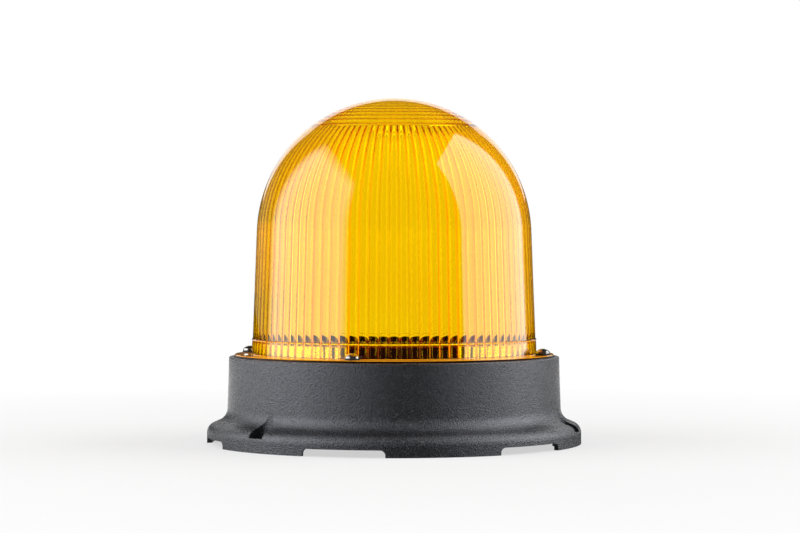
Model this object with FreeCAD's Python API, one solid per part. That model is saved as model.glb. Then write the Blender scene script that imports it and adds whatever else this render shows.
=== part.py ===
import FreeCAD
import Part
import math
import os

# Signal beacon: a fluted amber dome on a black flared base that screws down flat.
# Lengths are in millimetres and angles in degrees. The origin is the middle of the
# mounting plane, z points up, and the mirror plane of the base is y = 0.

# Lens: dome, drafted skirt, flange
dome_radius = 70.0
skirt_height = 60.3
skirt_draft = 2.1
lens_wall = 2.6
flute_count = 90
flute_depth = 0.6
cap_radius = 42.0
cap_ring_pitch = 3.1
cap_step = 1.4
skirt_step_height = 7.6
skirt_step = 0.3
flange_width = 8.7
flange_thickness = 3.0
flange_proud = 1.3
flange_fillet = 1.0

# Base: lip, wall, cove, ledge, round, feet
base_height = 44.0
lip_width = 2.4
flange_gap = 0.4
lip_round = 0.6
wall_lean = 0.8
base_wall = 2.6
flare_reach = 10.4
cove_radius = 7.2
rim_round = 5.0
ledge_slope = 23.0
foot_height = 3.6
rim_band = 2.0
foot_count = 6
foot_span = 35.0
notch_round = 2.5
deck_thickness = 2.8
collar_gap = 0.8
collar_rise = 7.7
collar_wall = 2.4
collar_bevel = 0.8
rib_count = 8
rib_thickness = 2.0

# Mounting pockets on every second foot
mount_count = 3
mount_inset = 5.76
mount_hole_radius = 2.75
pocket_half_width = 4.8
pocket_floor = 7.0
pocket_wall = 2.4

# Lens screws and what they seal
screw_count = 4
screw_edge = 3.9
screw_shank_radius = 1.75
screw_length = 20.0
screw_head_radius = 3.5
screw_head_height = 2.6
recess_width = 1.0
recess_reach = 2.0
recess_depth = 1.3
washer_radius = 3.8
washer_thickness = 0.8
screw_gap = 0.3
screw_boss_wall = 2.2
boss_floor = 2.0
gasket_thickness = 1.6

# Base plate, its seal and its screws
plate_lift = 4.2
plate_thickness = 2.8
plate_edge = 5.0
plate_rib_count = 8
plate_rib_height = 1.2
seal_groove_depth = 1.6
seal_thickness = 0.8
seal_gap = 0.3
plate_boss_radius = 4.0
plate_screw_count = 4
plate_screw_length = 14.0
tap_gap = 0.05

# Cable grommet
grommet_bore_radius = 3.0
grommet_hole_radius = 7.5
grommet_flange = 2.5
grommet_lip = 1.8
grommet_nose = 6.0
grommet_nose_wall = 1.4
grommet_slope = 2.4
grommet_margin = 20.0

# Small machine screws of the boards
small_shank_radius = 1.5
small_head_radius = 2.6
small_head_height = 1.9
small_length = 8.0
small_boss_wall = 2.4

# Light carrier and light board
carrier_drop = 7.6
carrier_thickness = 2.4
carrier_gap = 0.5
carrier_lip = 1.8
carrier_lip_height = 2.0
carrier_screw_inset = 5.4
access_radius = 22.0
led_board_thickness = 1.6
led_board_inner = 26.0
led_board_margin = 1.2
led_size = 5.0
led_height = 1.2
emitter_radius = 2.1
emitter_height = 0.3
inner_led_count = 12
outer_led_count = 18
inner_led_inset = 8.0
outer_led_inset = 8.6
led_board_screw_count = 3

# Supply board
board_thickness = 1.6
board_gap = 1.0
board_cut = 14.0
post_height = 6.0
post_edge = 6.5
front_post_angle = 85.0
rear_post_angle = 150.0

# Terminal block with rising clamps
pole_count = 2
pole_pitch = 7.5
block_depth = 12.0
block_height = 17.0
block_wall = 1.0
clamp_width = 5.0
clamp_height = 6.0
clamp_top = 1.2
clamp_window = 3.4
clamp_gap = 0.3
clamp_travel = 2.0
terminal_head_radius = 1.9
terminal_head_height = 1.8
terminal_shank_radius = 1.4
terminal_gap = 0.35
slot_width = 0.7
slot_depth = 0.9

# Leads from the supply to the light board
lead_radius = 0.75
lead_spacing = 3.0
lead_edge = 3.0
lead_bend = 4.0
lead_seat_gap = 0.1
lead_on_board = 4.5
header_width = 8.0
header_depth = 6.0
header_height = 6.0
header_wall = 0.9
header_floor = 1.2
plug_gap = 0.15
plug_height = 8.0

# Places of the supply's components on its board, and their sizes
transformer_place = (-37.0, 0.0)
core_length = 24.0
core_depth = 8.0
core_height = 20.0
core_leg = 3.5
core_window = 5.0
coil_gap = 0.3
coil_bulge = 4.6
capacitor_places = ((-26.0, 24.0), (-20.0, 38.0))
capacitor_radius = 6.25
capacitor_height = 22.0
output_capacitor_place = (-26.0, -20.0)
output_capacitor_radius = 5.0
output_capacitor_height = 16.0
crimp_height = 3.0
crimp_depth = 0.5
can_bevel = 0.8
choke_place = (2.0, -24.0)
choke_outer_radius = 9.0
choke_inner_radius = 4.5
choke_height = 8.0
winding_thickness = 1.0
winding_gap = 0.1
winding_span = 130.0
rectifier_place = (-14.0, -25.0)
rectifier_width = 8.0
rectifier_length = 10.0
rectifier_height = 6.0
rectifier_chamfer = 1.6
leg_radius = 0.4
leg_standoff = 2.0
fuse_place = (0.0, 32.0)
fuse_length = 20.0
fuse_radius = 2.4
fuse_cap_length = 5.0
fuse_cap_radius = 2.6
fuse_axis_height = 4.4
clip_gap = 0.05
clip_wall = 0.7
clip_length = 3.6
clip_mouth = 3.6
varistor_place = (6.0, 19.0)
varistor_radius = 5.0
varistor_thickness = 4.0
varistor_leg_spacing = 5.0
varistor_standoff = 3.0
sink_place = (-16.0, -38.0)
sink_width = 24.0
sink_back = 2.5
sink_fin_reach = 5.5
sink_fin_count = 7
sink_fin_thickness = 1.2
sink_height = 20.0
transistor_width = 10.0
transistor_thickness = 4.4
transistor_body_height = 9.0
transistor_tab_height = 6.0
transistor_tab_thickness = 1.3
transistor_leg_pitch = 2.5
chip_places = ((-16.0, 10.0), (-16.0, -10.0))
chip_length = 8.0
chip_width = 4.0
chip_height = 1.5
chip_standoff = 0.2
chip_leg_count = 6
chip_leg_width = 0.45
chip_leg_reach = 1.0

# Heights that follow
flange_top = base_height + flange_proud
flange_bottom = flange_top - flange_thickness
deck_top = flange_bottom - gasket_thickness
deck_bottom = deck_top - deck_thickness
dome_centre = flange_top + skirt_height
collar_top = base_height + collar_rise
band_top = foot_height + rim_band
plate_top = plate_lift + plate_thickness
chamber_foot = plate_top - seal_groove_depth + seal_thickness
board_bottom = plate_top + post_height
board_top = board_bottom + board_thickness
carrier_bottom = collar_top - carrier_drop
carrier_top = carrier_bottom + carrier_thickness
led_board_top = carrier_top + led_board_thickness
screw_seat = flange_top + washer_thickness

vector = FreeCAD.Vector
origin = vector(0, 0, 0)
up = vector(0, 0, 1)


def sine(angle):
    return math.sin(math.radians(angle))


def cosine(angle):
    return math.cos(math.radians(angle))


def skirt_radius(height, inset):
    """Radius of the drafted skirt at a height, inset from its outer face."""
    ball = dome_radius - inset
    rise = dome_centre + ball * sine(skirt_draft) - height
    return ball * cosine(skirt_draft) + rise * math.tan(math.radians(skirt_draft))


# Radii that follow
ridge_inset = lens_wall + flute_depth
flange_radius = skirt_radius(flange_top, 0) + skirt_step + flange_width
lip_inner_radius = flange_radius + flange_gap
wall_top_radius = lip_inner_radius + lip_width
wall_foot_radius = wall_top_radius + wall_lean
rim_radius = wall_foot_radius + flare_reach
mount_radius = rim_radius - mount_inset
screw_circle_radius = flange_radius - screw_edge
collar_radius = skirt_radius(collar_top, ridge_inset) - collar_gap
chamber_radius = collar_radius - collar_wall
plate_screw_radius = collar_radius + plate_boss_radius
plate_radius = plate_screw_radius + plate_edge
carrier_radius = chamber_radius - carrier_gap
carrier_screw_radius = carrier_radius - carrier_screw_inset
carrier_boss_radius = small_shank_radius + small_boss_wall
board_radius = carrier_screw_radius - carrier_boss_radius - board_gap
post_circle_radius = board_radius - post_edge
led_board_radius = carrier_screw_radius - small_head_radius - led_board_margin
inner_led_radius = led_board_inner + inner_led_inset
outer_led_radius = led_board_radius - outer_led_inset
led_board_screw_radius = (inner_led_radius + outer_led_radius) / 2
grommet_x = board_cut + grommet_margin
lead_x = lead_edge - access_radius
terminal_x = board_cut - block_depth / 2

# The ledge touches the rim's round and the cove, which sets the height of the cove's end
round_centre = vector(rim_radius - rim_round, 0, band_top)
cove_x = wall_foot_radius + cove_radius
ledge_run = (round_centre.x - cove_x) * sine(ledge_slope) + rim_round + cove_radius
flare_top = band_top + ledge_run / cosine(ledge_slope)
cove_centre = vector(cove_x, 0, flare_top)


def line(start, end):
    return Part.LineSegment(start, end).toShape()


def at(radius, height):
    return vector(radius, 0, height)


def arc_about(centre, radius, start, end):
    """Arc in the xz plane about a centre, between two angles from +x towards +z."""
    middle = (start + end) / 2
    points = [
        centre + vector(radius * cosine(angle), 0, radius * sine(angle))
        for angle in (start, middle, end)
    ]
    return Part.Arc(*points).toShape()


def chain(pieces):
    """Edges from a list of points and ready edges, with straight lines in between."""
    edges = []
    last = None
    for piece in pieces:
        if isinstance(piece, FreeCAD.Vector):
            start, end = piece, piece
        else:
            start, end = piece.firstVertex(True).Point, piece.lastVertex(True).Point
        if last is not None and last.distanceToPoint(start) > 1e-6:
            edges.append(line(last, start))
        if not isinstance(piece, FreeCAD.Vector):
            edges.append(piece)
        last = end
    return edges


def turned(pieces):
    """Solid of revolution about z from a closed profile in the xz plane."""
    first = pieces[0]
    wire = Part.Wire(chain(pieces + [first]))
    return Part.Face(wire).revolve(origin, up, 360)


def rod(radius, bottom, top, place=(0.0, 0.0)):
    return Part.makeCylinder(radius, top - bottom, vector(place[0], place[1], bottom))


def ring(inner, outer, bottom, top):
    return rod(outer, bottom, top).cut(rod(inner, bottom, top))


def block(width, depth, bottom, top, place=(0.0, 0.0)):
    """Box centred on a place in plan, width along x and depth along y."""
    corner = vector(place[0] - width / 2, place[1] - depth / 2, bottom)
    return Part.makeBox(width, depth, top - bottom, corner)


def polar(radius, angle):
    return (radius * cosine(angle), radius * sine(angle))


def steps(count, start=0.0):
    return [start + 360.0 * k / count for k in range(count)]


def turn(shape, angle):
    copy = shape.copy()
    copy.rotate(origin, up, angle)
    return copy


def around(shape, angles):
    return [turn(shape, angle) for angle in angles]


def spread(shape, places):
    copies = []
    for place in places:
        copy = shape.copy()
        copy.translate(vector(place[0], place[1], 0))
        copies.append(copy)
    return copies


def group(shapes):
    return Part.makeCompound(shapes)


def pan_screw(shank_radius, length, head_radius, head_height, seat):
    """Pan-head screw on the z axis, its head standing on the seat."""
    crown_height = 2 * head_height / 3
    ball = (head_radius**2 + crown_height**2) / (2 * crown_height)
    edge_angle = math.degrees(math.acos(head_radius / ball))
    crown = arc_about(vector(0, 0, seat + head_height - ball), ball, edge_angle, 90)
    tip = shank_radius / 2
    profile = [
        at(0, seat - length),
        at(shank_radius - tip, seat - length),
        at(shank_radius, seat - length + tip),
        at(shank_radius, seat),
        at(head_radius, seat),
        crown,
    ]
    return turned(profile)


def small_screw(seat):
    return pan_screw(small_shank_radius, small_length, small_head_radius, small_head_height, seat)


def upside_down(shape, height):
    copy = shape.copy()
    copy.rotate(vector(0, 0, height), vector(1, 0, 0), 180)
    return copy


# Angles, counted from +x
foot_angles = steps(foot_count)
notch_angles = steps(foot_count, 180.0 / foot_count)
mount_angles = steps(mount_count)
screw_angles = steps(screw_count)
inner_boss_angles = steps(plate_screw_count, 180.0 / plate_screw_count)
rib_angles = steps(rib_count, 180.0 / rib_count)
post_angles = [front_post_angle, rear_post_angle, -rear_post_angle, -front_post_angle]


def flare(inset):
    """The flare from the rim's band to the wall's foot, inset from the outer face."""
    ledge_normal = 90.0 - ledge_slope
    return [
        arc_about(round_centre, rim_round - inset, 0, ledge_normal),
        arc_about(cove_centre, cove_radius + inset, 180.0 + ledge_normal, 180.0),
    ]


def housing_outside():
    lip_edge = vector(wall_top_radius - lip_round, 0, base_height - lip_round)
    return [at(rim_radius, 0)] + flare(0) + [arc_about(lip_edge, lip_round, 0, 90)]


def housing_envelope():
    return turned(housing_outside() + [at(0, base_height), at(0, 0)])


def housing_shell():
    upper_side = [
        at(lip_inner_radius, base_height),
        at(lip_inner_radius, deck_top),
        at(collar_radius, deck_top),
        at(collar_radius, collar_top - collar_bevel),
        at(collar_radius - collar_bevel, collar_top),
        at(chamber_radius, collar_top),
    ]
    under_side = [
        at(chamber_radius, chamber_foot),
        at(collar_radius, chamber_foot),
        at(collar_radius, deck_bottom),
        at(wall_top_radius - base_wall, deck_bottom),
    ]
    inner_round, inner_cove = flare(base_wall)
    back = [reversed_edge(inner_cove), reversed_edge(inner_round), at(rim_radius - base_wall, 0)]
    return turned(housing_outside() + upper_side + under_side + back)


def reversed_edge(edge):
    """The same arc run from its end to its start."""
    middle = edge.valueAt((edge.FirstParameter + edge.LastParameter) / 2)
    ends = [edge.firstVertex(True).Point, edge.lastVertex(True).Point]
    return Part.Arc(ends[1], middle, ends[0]).toShape()


def foot_notch():
    """Cutter between two feet: flat top with round corners, run out through the rim."""
    half = rim_radius * sine((360.0 / foot_count - foot_span) / 2)
    start = rim_radius * cosine(foot_span / 2) - 2 * base_wall
    length = rim_radius + base_wall - start
    body = Part.makeBox(length, 2 * half, 2 * foot_height, vector(start, -half, -foot_height))
    edges = [
        edge
        for edge in body.Edges
        if edge.BoundBox.XLength > length / 2 and edge.BoundBox.ZMin > 0
    ]
    return body.makeFillet(notch_round, edges)


def mount_pocket():
    """Cutter for a screw pocket: round back, open to the rim, floor above the pad."""
    top = flare_top + base_wall
    well = rod(pocket_half_width, pocket_floor, top, (mount_radius, 0))
    reach = rim_radius + base_wall - mount_radius
    corner = vector(mount_radius, -pocket_half_width, pocket_floor)
    mouth = Part.makeBox(reach, 2 * pocket_half_width, top - pocket_floor, corner)
    return well.fuse(mouth)


def wall_boss(radius, circle, wall, bottom, top):
    """Upright boss on a circle, joined by a web of its own width to a wall further out."""
    web = Part.makeBox(wall - circle, 2 * radius, top - bottom, vector(circle, -radius, bottom))
    return rod(radius, bottom, top, (circle, 0)).fuse(web)


def base_housing():
    shell = housing_shell()
    envelope = housing_envelope()
    pad_radius = pocket_half_width + pocket_wall
    pad = rod(pad_radius, 0, flare_top + base_wall, (mount_radius, 0)).common(envelope)
    rib_inner = collar_radius - collar_wall / 2
    rib_outer = wall_top_radius - base_wall / 2
    rib_corner = vector(rib_inner, -rib_thickness / 2, flare_top)
    rib_height = deck_bottom + deck_thickness / 2 - flare_top
    rib = Part.makeBox(rib_outer - rib_inner, rib_thickness, rib_height, rib_corner)
    boss_radius = screw_shank_radius + screw_gap + screw_boss_wall
    boss_bottom = screw_seat - screw_length - boss_floor
    boss_overlap = deck_bottom + deck_thickness / 2
    screw_boss = rod(boss_radius, boss_bottom - boss_floor, boss_overlap, (screw_circle_radius, 0))
    plate_boss = rod(plate_boss_radius, plate_top, boss_overlap, (plate_screw_radius, 0))
    chamber_middle = chamber_radius + collar_wall / 2
    carrier_boss = wall_boss(
        carrier_boss_radius, carrier_screw_radius, chamber_middle, plate_top, carrier_bottom
    )
    added = around(pad, mount_angles) + around(rib, rib_angles) + around(screw_boss, screw_angles)
    added += around(plate_boss, inner_boss_angles) + around(carrier_boss, inner_boss_angles)
    solid = shell.fuse(added)

    mount_hole = rod(mount_hole_radius, -base_wall, flare_top, (mount_radius, 0))
    screw_hole = rod(screw_shank_radius + screw_gap, boss_bottom, base_height, (screw_circle_radius, 0))
    plate_tap_top = plate_lift + plate_screw_length + boss_floor
    plate_tap = rod(screw_shank_radius + tap_gap, 0, plate_tap_top, (plate_screw_radius, 0))
    carrier_tap_bottom = carrier_top - small_length - boss_floor
    carrier_tap = rod(
        small_shank_radius + tap_gap, carrier_tap_bottom, collar_top, (carrier_screw_radius, 0)
    )
    removed = around(foot_notch(), notch_angles) + around(mount_pocket(), mount_angles)
    removed += around(mount_hole, mount_angles) + around(screw_hole, screw_angles)
    removed += around(plate_tap, inner_boss_angles) + around(carrier_tap, inner_boss_angles)
    return solid.cut(removed).removeSplitter()


def meridian(inset, azimuth, low, high):
    """Skirt line and dome arc of the lens in one upright plane, from low to high."""
    ball = dome_radius - inset
    top = math.degrees(math.asin((high - dome_centre) / ball))
    skirt = line(at(skirt_radius(low, inset), low), dome_point(ball, skirt_draft))
    dome = arc_about(vector(0, 0, dome_centre), ball, skirt_draft, top)
    return [turn(skirt, azimuth), turn(dome, azimuth)]


def dome_point(ball, elevation):
    return vector(ball * cosine(elevation), 0, dome_centre + ball * sine(elevation))


def outer_skin():
    """Outer face of the lens from the flange's lower edge to the crown."""
    step_level = flange_top + skirt_step_height
    foot_radius = skirt_radius(flange_top, 0) + skirt_step
    fillet_centre = vector(foot_radius + flange_fillet, 0, flange_top + flange_fillet)
    step_radius = skirt_radius(step_level, 0)
    profile = [
        at(flange_radius, flange_bottom),
        at(flange_radius, flange_top),
        arc_about(fillet_centre, flange_fillet, 270, 180),
        at(step_radius + skirt_step, step_level),
        at(step_radius, step_level),
        arc_about(vector(0, 0, dome_centre), dome_radius, skirt_draft, 90),
    ]
    return Part.Wire(chain(profile)).revolve(origin, up, 360)


def cap_skin(start_radius, start_height):
    """Ring flutes inside the crown: each ring falls from the wall to a ridge."""
    wall_ball = dome_radius - lens_wall
    ridge_ball = dome_radius - ridge_inset
    ring_count = int(start_radius / cap_ring_pitch)
    pitch = start_radius / ring_count
    points = [at(start_radius, start_height)]
    for k in range(ring_count):
        groove = start_radius - (k + 0.5) * pitch
        ridge = start_radius - (k + 1) * pitch
        points.append(at(groove, dome_centre + math.sqrt(wall_ball**2 - groove**2)))
        points.append(at(max(ridge, 0), dome_centre + math.sqrt(ridge_ball**2 - max(ridge, 0) ** 2)))
    return Part.Wire(chain(points)).revolve(origin, up, 360)


def lens_dome():
    """Lens sewn from its smooth outside, the upright flutes and the ring-fluted cap."""
    cap_level = dome_centre + math.sqrt((dome_radius - lens_wall) ** 2 - cap_radius**2)
    half_pitch = 180.0 / flute_count
    curves = [
        meridian(lens_wall + flute_depth * (k % 2), k * half_pitch, flange_bottom, cap_level)
        for k in range(2 * flute_count)
    ]
    faces = []
    for k in range(2 * flute_count):
        for edge, next_edge in zip(curves[k - 1], curves[k]):
            faces.append(Part.makeRuledSurface(edge, next_edge))
    foot_points = [pair[0].firstVertex(True).Point for pair in curves]
    cap_points = [pair[1].lastVertex(True).Point for pair in curves]
    foot_outline = Part.makePolygon(foot_points + foot_points[:1])
    cap_outline = Part.makePolygon(cap_points + cap_points[:1])
    flange_circle = Part.Wire(Part.makeCircle(flange_radius, vector(0, 0, flange_bottom)))
    cap_start = cap_radius - cap_step
    cap_circle = Part.Wire(Part.makeCircle(cap_start, vector(0, 0, cap_level)))
    faces.append(Part.makeFace([flange_circle, foot_outline], "Part::FaceMakerBullseye"))
    faces.append(Part.makeFace([cap_outline, cap_circle], "Part::FaceMakerBullseye"))
    faces += outer_skin().Faces + cap_skin(cap_start, cap_level).Faces
    shell = Part.makeShell(faces)
    shell.sewShape()
    solid = Part.makeSolid(shell)
    if solid.Volume < 0:
        solid.reverse()
    hole = rod(screw_shank_radius + screw_gap, flange_bottom, flange_top, (screw_circle_radius, 0))
    return solid.cut(around(hole, screw_angles))


def lens_gasket():
    inner = skirt_radius(flange_bottom, lens_wall)
    flat = ring(inner, flange_radius, deck_top, flange_bottom)
    hole = rod(screw_shank_radius + screw_gap, deck_top, flange_bottom, (screw_circle_radius, 0))
    return flat.cut(around(hole, screw_angles))


def lens_screws():
    screw = pan_screw(screw_shank_radius, screw_length, screw_head_radius, screw_head_height, screw_seat)
    top = screw_seat + screw_head_height
    slot = block(2 * recess_reach, recess_width, top - recess_depth, top)
    screw = screw.cut([slot, turn(slot, 90)])
    screw.translate(vector(screw_circle_radius, 0, 0))
    return group(around(screw, screw_angles))


def screw_washers():
    washer = ring(screw_shank_radius + tap_gap, washer_radius, flange_top, screw_seat)
    washer.translate(vector(screw_circle_radius, 0, 0))
    return group(around(washer, screw_angles))


def base_plate():
    disc = rod(plate_radius, plate_lift, plate_top)
    rib_start = grommet_hole_radius
    rib_length = chamber_radius - rib_start
    rib_corner = vector(rib_start, -rib_thickness / 2, plate_lift - plate_rib_height)
    rib = Part.makeBox(rib_length, rib_thickness, plate_rib_height + plate_thickness / 2, rib_corner)
    post_radius = small_shank_radius + small_boss_wall
    post = rod(post_radius, plate_top - plate_thickness / 2, board_bottom, (post_circle_radius, 0))
    solid = disc.fuse(around(rib, steps(plate_rib_count, 180.0 / plate_rib_count)))
    solid = solid.fuse(around(post, post_angles))
    groove = ring(
        chamber_radius - seal_gap, collar_radius + seal_gap, plate_top - seal_groove_depth, plate_top
    )
    tap_bottom = board_top - small_length
    tap = rod(small_shank_radius + tap_gap, tap_bottom, board_bottom, (post_circle_radius, 0))
    screw_hole = rod(screw_shank_radius + tap_gap, plate_lift, plate_top, (plate_screw_radius, 0))
    cable_hole = rod(grommet_hole_radius, 0, plate_top, (grommet_x, 0))
    removed = [groove, cable_hole] + around(tap, post_angles) + around(screw_hole, inner_boss_angles)
    return solid.cut(removed).removeSplitter()


def plate_seal():
    bottom = plate_top - seal_groove_depth
    return ring(chamber_radius, collar_radius, bottom, chamber_foot)


def plate_screws():
    screw = upside_down(
        pan_screw(
            screw_shank_radius, plate_screw_length, screw_head_radius, screw_head_height, plate_lift
        ),
        plate_lift,
    )
    screw.translate(vector(plate_screw_radius, 0, 0))
    return group(around(screw, inner_boss_angles))


def cable_grommet():
    outer = grommet_hole_radius + grommet_flange
    neck = grommet_hole_radius - tap_gap
    nose = grommet_bore_radius + grommet_nose_wall
    profile = [
        at(grommet_bore_radius, plate_lift - grommet_lip),
        at(outer - grommet_lip / 2, plate_lift - grommet_lip),
        at(outer, plate_lift - grommet_lip / 2),
        at(outer, plate_lift),
        at(neck, plate_lift),
        at(neck, plate_top),
        at(outer, plate_top),
        at(outer - grommet_lip / 2, plate_top + grommet_lip),
        at(nose + grommet_slope, plate_top + grommet_lip),
        at(nose, plate_top + grommet_lip + grommet_nose),
        at(grommet_bore_radius, plate_top + grommet_lip + grommet_nose),
    ]
    solid = turned(profile)
    solid.translate(vector(grommet_x, 0, 0))
    return solid


def led_carrier():
    lip_inner = carrier_radius - carrier_lip
    profile = [
        at(access_radius, carrier_bottom),
        at(carrier_radius, carrier_bottom),
        at(carrier_radius, carrier_top + carrier_lip_height),
        at(lip_inner, carrier_top + carrier_lip_height),
        at(lip_inner, carrier_top),
        at(access_radius, carrier_top),
    ]
    hole = rod(small_shank_radius + tap_gap, carrier_bottom, carrier_top, (carrier_screw_radius, 0))
    board_tap = rod(small_shank_radius + tap_gap, carrier_bottom, carrier_top, (led_board_screw_radius, 0))
    removed = around(hole, inner_boss_angles) + around(board_tap, steps(led_board_screw_count))
    return turned(profile).cut(removed)


def carrier_screws():
    screw = small_screw(carrier_top)
    screw.translate(vector(carrier_screw_radius, 0, 0))
    return group(around(screw, inner_boss_angles))


def led_board():
    flat = ring(led_board_inner, led_board_radius, carrier_top, led_board_top)
    hole = rod(small_shank_radius + tap_gap, carrier_top, led_board_top, (led_board_screw_radius, 0))
    return flat.cut(around(hole, steps(led_board_screw_count)))


def led_board_screws():
    screw = small_screw(led_board_top)
    screw.translate(vector(led_board_screw_radius, 0, 0))
    return group(around(screw, steps(led_board_screw_count)))


def on_led_rings(shape):
    """Copies of a shape made on the axis, one at each light of both rings."""
    copies = []
    for radius, count in ((inner_led_radius, inner_led_count), (outer_led_radius, outer_led_count)):
        moved = shape.copy()
        moved.translate(vector(radius, 0, 0))
        copies += around(moved, steps(count, 180.0 / count))
    return copies


def led_packages():
    body = block(led_size, led_size, led_board_top, led_board_top + led_height)
    return group(on_led_rings(body))


def led_emitters():
    bottom = led_board_top + led_height
    return group(on_led_rings(rod(emitter_radius, bottom, bottom + emitter_height)))


def power_board():
    disc = rod(board_radius, board_bottom, board_top)
    cut_width = board_radius
    cut_place = (board_cut + cut_width / 2, 0)
    gap = block(cut_width, 2 * board_radius, board_bottom, board_top, cut_place)
    hole = rod(small_shank_radius + tap_gap, board_bottom, board_top, (post_circle_radius, 0))
    return disc.cut([gap] + around(hole, post_angles))


def board_screws():
    screw = small_screw(board_top)
    screw.translate(vector(post_circle_radius, 0, 0))
    return group(around(screw, post_angles))


def transformer_core():
    """Three-legged core: outer legs, middle leg twice as wide, two windows."""
    yoke = core_leg
    solid = block(core_length, core_depth, board_top, board_top + core_height, transformer_place)
    offset = core_length / 2 - core_leg - core_window / 2
    windows = [
        block(
            core_window,
            core_depth,
            board_top + yoke,
            board_top + core_height - yoke,
            (transformer_place[0] + side * offset, transformer_place[1]),
        )
        for side in (-1, 1)
    ]
    return solid.cut(windows)


def transformer_coil():
    """Winding round the core's middle leg, standing out past the core on both faces."""
    middle_leg = core_length - 2 * core_leg - 2 * core_window
    bottom = board_top + core_leg + coil_gap
    top = board_top + core_height - core_leg - coil_gap
    width = core_length - 2 * core_leg - 2 * coil_gap
    depth = core_depth + 2 * coil_bulge
    solid = block(width, depth, bottom, top, transformer_place)
    upright = [edge for edge in solid.Edges if edge.BoundBox.ZLength > (top - bottom) / 2]
    solid = solid.makeFillet(coil_bulge / 2, upright)
    leg_room = block(
        middle_leg + 2 * coil_gap, core_depth + 2 * coil_gap, bottom, top, transformer_place
    )
    return solid.cut(leg_room)


def capacitor_can(radius, height):
    """Can on the board with its crimped groove and bevelled top edge."""
    top = board_top + height
    groove = board_top + crimp_height
    profile = [
        at(0, board_top),
        at(radius, board_top),
        at(radius, groove - crimp_depth),
        at(radius - crimp_depth, groove),
        at(radius, groove + crimp_depth),
        at(radius, top - can_bevel),
        at(radius - can_bevel, top),
        at(0, top),
    ]
    return turned(profile)


def filter_capacitors():
    inputs = spread(capacitor_can(capacitor_radius, capacitor_height), capacitor_places)
    output = capacitor_can(output_capacitor_radius, output_capacitor_height)
    return group(inputs + spread(output, [output_capacitor_place]))


def choke_core():
    bottom = board_top + winding_thickness + winding_gap
    core = ring(choke_inner_radius, choke_outer_radius, bottom, bottom + choke_height)
    return spread(core, [choke_place])[0]


def choke_winding():
    """Two wound sectors, each a square tube bent round the ring core."""
    bottom = board_top
    top = board_top + choke_height + 2 * (winding_thickness + winding_gap)
    outer = choke_outer_radius + winding_gap + winding_thickness
    inner = choke_inner_radius - winding_gap - winding_thickness
    tube = ring(inner, outer, bottom, top).cut(
        ring(
            inner + winding_thickness,
            outer - winding_thickness,
            bottom + winding_thickness,
            top - winding_thickness,
        )
    )
    wedge = Part.makeCylinder(2 * outer, top - bottom, vector(0, 0, bottom), up, winding_span)
    sector = turn(tube.common(wedge), -winding_span / 2)
    return group(spread(group([turn(sector, 90), turn(sector, 270)]), [choke_place]))


def rectifier_body(bottom):
    body = block(rectifier_width, rectifier_length, bottom, bottom + rectifier_height, rectifier_place)
    corner = max(
        (edge for edge in body.Edges if edge.BoundBox.ZLength > rectifier_height / 2),
        key=lambda edge: edge.BoundBox.XMin + edge.BoundBox.YMin,
    )
    return body.makeChamfer(rectifier_chamfer, [corner])


def bridge_rectifier():
    bottom = board_top + leg_standoff
    offsets = [
        (x * rectifier_width / 4, y * rectifier_length / 4) for x in (-1, 1) for y in (-1, 1)
    ]
    places = [(rectifier_place[0] + x, rectifier_place[1] + y) for x, y in offsets]
    leg = rod(leg_radius, board_top, bottom + rectifier_height / 2)
    return rectifier_body(bottom).fuse(spread(leg, places)).removeSplitter()


def fuse_rod(radius, start, length):
    base = vector(fuse_place[0] + start, fuse_place[1], board_top + fuse_axis_height)
    return Part.makeCylinder(radius, length, base, vector(1, 0, 0))


def fuse_tube():
    length = fuse_length - 2 * fuse_cap_length
    return fuse_rod(fuse_radius, -length / 2, length)


def fuse_caps():
    end = fuse_length / 2
    left = fuse_rod(fuse_cap_radius, -end, fuse_cap_length)
    right = fuse_rod(fuse_cap_radius, end - fuse_cap_length, fuse_cap_length)
    return group([left, right])


def fuse_clips():
    """Spring clips under both caps: a block with a round seat and an open mouth."""
    inner = fuse_cap_radius + clip_gap
    width = 2 * (inner + clip_wall)
    axis = board_top + fuse_axis_height
    middle = fuse_length / 2 - fuse_cap_length / 2
    seat = fuse_rod(inner, -fuse_length, 2 * fuse_length)
    clips = []
    for side in (-1, 1):
        place = (fuse_place[0] + side * middle, fuse_place[1])
        body = block(clip_length, width, board_top, axis + inner, place)
        mouth = block(clip_length, clip_mouth, axis, axis + inner, place)
        clips.append(body.cut([seat, mouth]))
    return group(clips)


def varistor():
    centre_height = board_top + varistor_standoff + varistor_radius
    start = vector(varistor_place[0], varistor_place[1] - varistor_thickness / 2, centre_height)
    disc = Part.makeCylinder(varistor_radius, varistor_thickness, start, vector(0, 1, 0))
    edges = [edge for edge in disc.Edges if edge.BoundBox.YLength < varistor_thickness / 2]
    disc = disc.makeChamfer(varistor_thickness / 4, edges)
    half = varistor_leg_spacing / 2
    places = [(varistor_place[0] + side * half, varistor_place[1]) for side in (-1, 1)]
    leg = rod(leg_radius, board_top, centre_height)
    return disc.fuse(spread(leg, places)).removeSplitter()


def heat_sink():
    """Finned extrusion standing on the board, fins away from the transistor."""
    top = board_top + sink_height
    back = block(sink_width, sink_back, board_top, top, (0, -sink_back / 2))
    pitch = (sink_width - sink_fin_thickness) / (sink_fin_count - 1)
    fins = []
    for k in range(sink_fin_count):
        place = ((k - (sink_fin_count - 1) / 2) * pitch, -sink_back / 2 - sink_fin_reach / 2)
        fins.append(block(sink_fin_thickness, sink_fin_reach + sink_back, board_top, top, place))
    return spread(back.fuse(fins).removeSplitter(), [sink_place])[0]


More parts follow.
